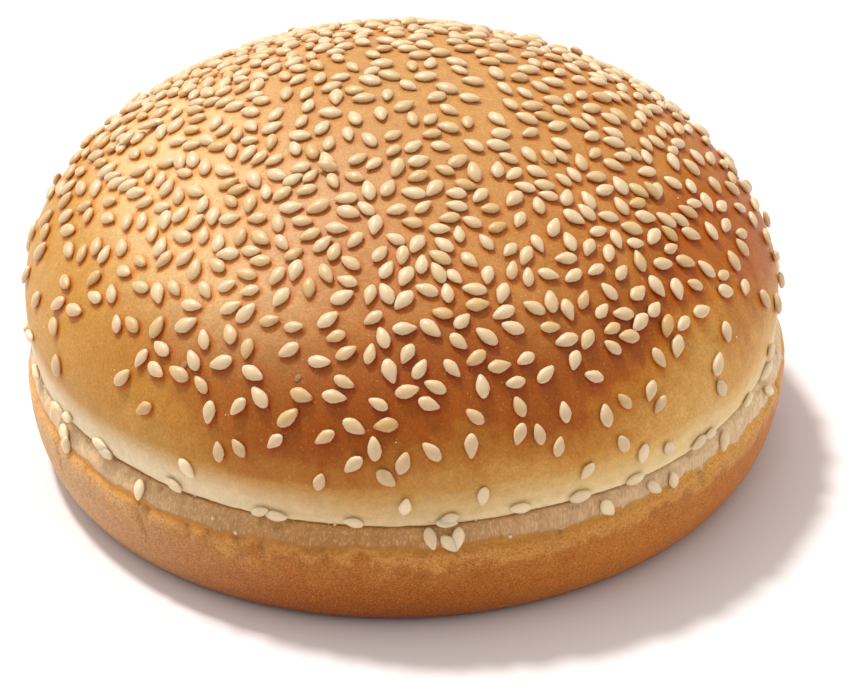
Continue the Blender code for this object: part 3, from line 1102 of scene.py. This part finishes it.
def makeCrumbs(body):
    draw = random.Random(crumbLook["draws"])
    points, sizes, flats, hulls = [], [], [], []
    for count, smallest, largest, flat, lowest, highest, hull in crumbLook["sorts"]:
        for i in range(count):
            turn = math.radians(draw.uniform(lowest, highest))
            points.append(crustPoint(turn, draw.uniform(-math.pi, math.pi)))
            sizes.append(draw.uniform(smallest, largest) * mm)
            flats.append(flat)
            hulls.append(hull)
    for i in range(crumbLook["bandCount"]):
        theta = draw.uniform(-math.pi, math.pi)
        height = draw.uniform(*crumbLook["bandHeights"]) * mm
        points.append(Vector((heelRadius * math.cos(theta), heelRadius * math.sin(theta), height)))
        sizes.append(draw.uniform(*crumbLook["bandSizes"]) * mm)
        flats.append(crumbLook["bandFlatness"])
        hulls.append(0.0)
    bits = pointObject("crumbs", points, {"size": sizes, "flat": flats, "hull": hulls})
    return grow(bits, crumbTree, {"Body": body, "Raggedness": crumbLook["raggedness"],
                                  "Seed": crumbLook["turnSeed"], "Material": crumbMaterial()})


# Stores on the crust how far each point is from the nearest seed, measured from a spot moved up and toward
# the sun, for the painted seed shadows
def seedGapTree(sizes):
    tree, given = openTree("measureSeedGap", sizes)
    side = given["Side shift"]
    shift = put(tree, "ShaderNodeCombineXYZ", (product(tree, side, -1.0), side, given["Up shift"]))
    spot = vectorMaths(tree, "ADD", put(tree, "GeometryNodeInputPosition"), shift)
    nearest = put(tree, "GeometryNodeProximity",
                  {"Geometry": objectShape(tree, given["Seeds"]), "Sample Position": spot},
                  target_element="FACES")
    body = put(tree, "GeometryNodeStoreNamedAttribute",
               {"Geometry": given["Geometry"], "Name": "seedGap", "Value": nearest.node.outputs["Distance"]},
               data_type="FLOAT")
    return closeTree(tree, body, given)


def measureSeedGap(body, material, seeds):
    grow(body, seedGapTree, {"Seeds": seeds, "Side shift": bun["seedShadowSide"], "Up shift": bun["seedShadowUp"],
                             "Material": material})


# Studio: white ground, a sun from behind on the left, and pale light from all round
studio = {
    "cameraPlace": (0.0, -453.9, 292.5),
    "aim": (3.25, 5.5, 8.6),
    "lens": 162.5,
    "sunHeight": 66.4,
    "sunFrom": 135.4,
    "sunPower": 2.85,
    "sunWidth": 7.0,
    "skyFrom": (-0.76, 0.47, 0.45),
    "skyLow": 0.40,
    "skyHigh": 1.44,
    "horizonShare": 0.28,
    "fillFrom": (0.95, -0.28, 0.10),
    "fillPower": 0.60,
    "floorColour": (0.74, 0.69, 0.68),
    "skyColour": (1.0, 0.98, 0.96, 1.0),
    "floorHalf": 3.0,
}


def makeStudio():
    half = studio["floorHalf"]
    floorMesh = bpy.data.meshes.new("floor")
    floorMesh.from_pydata([(-half, -half, 0), (half, -half, 0), (half, half, 0), (-half, half, 0)], [],
                          [(0, 1, 2, 3)])
    floor = newObject("floor", floorMesh)
    material, tree, shader = newMaterial("whiteGround")
    setShader(shader, {"Base Color": (*studio["floorColour"], 1.0), "Roughness": 0.9})
    floorMesh.materials.append(material)

    lamp = bpy.data.lights.new("sun", "SUN")
    lamp.energy = studio["sunPower"]
    lamp.angle = math.radians(studio["sunWidth"])
    sun = bpy.data.objects.new("sun", lamp)
    height, side = math.radians(studio["sunHeight"]), math.radians(studio["sunFrom"])
    source = Vector((math.cos(height) * math.cos(side), math.cos(height) * math.sin(side), math.sin(height)))
    sun.rotation_euler = source.to_track_quat("Z", "Y").to_euler()
    bpy.context.scene.collection.objects.link(sun)

    world = bpy.data.worlds.new("studio")
    world.use_nodes = True
    tree = world.node_tree
    way = put(tree, "ShaderNodeTexCoord").node.outputs["Generated"]
    facing = vectorMaths(tree, "DOT_PRODUCT", way, studio["skyFrom"])
    power = step(tree, facing, -0.3, 1.0, studio["skyLow"], studio["skyHigh"])
    sideways = vectorMaths(tree, "DOT_PRODUCT", way, studio["fillFrom"])
    fill = step(tree, sideways, 0.0, 1.0, 0.0, studio["fillPower"])
    upward = put(tree, "ShaderNodeSeparateXYZ", (way,)).node.outputs["Z"]
    overhead = step(tree, upward, 0.0, 0.7, studio["horizonShare"], 1.0)
    sky = tree.nodes["Background"]
    sky.inputs["Color"].default_value = studio["skyColour"]
    tree.links.new(addUp(tree, product(tree, power, overhead), fill), sky.inputs["Strength"])
    bpy.context.scene.world = world

    lensData = bpy.data.cameras.new("camera")
    lensData.lens = studio["lens"]
    lensData.sensor_width = 36
    lensData.clip_start = 0.01
    camera = bpy.data.objects.new("camera", lensData)
    camera.location = Vector(studio["cameraPlace"]) * mm
    sight = Vector(studio["aim"]) * mm - camera.location
    camera.rotation_euler = sight.to_track_quat("-Z", "Y").to_euler()
    bpy.context.scene.collection.objects.link(camera)
    bpy.context.scene.camera = camera
    bpy.context.scene.view_settings.view_transform = "Standard"


makeStudio()
print("studio ready")
body, crust = makeBody()
print("body", len(body.data.polygons), "faces")
seeds = makeSeeds(body)
print("seeds", len(seeds.data.polygons), "faces")
measureSeedGap(body, crust, seeds)
print("seed gaps measured")
crumbs = makeCrumbs(body)
print("crumbs", len(crumbs.data.polygons), "faces")

for piece in (body, seeds, crumbs):
    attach(piece, "root")
    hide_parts("bun")
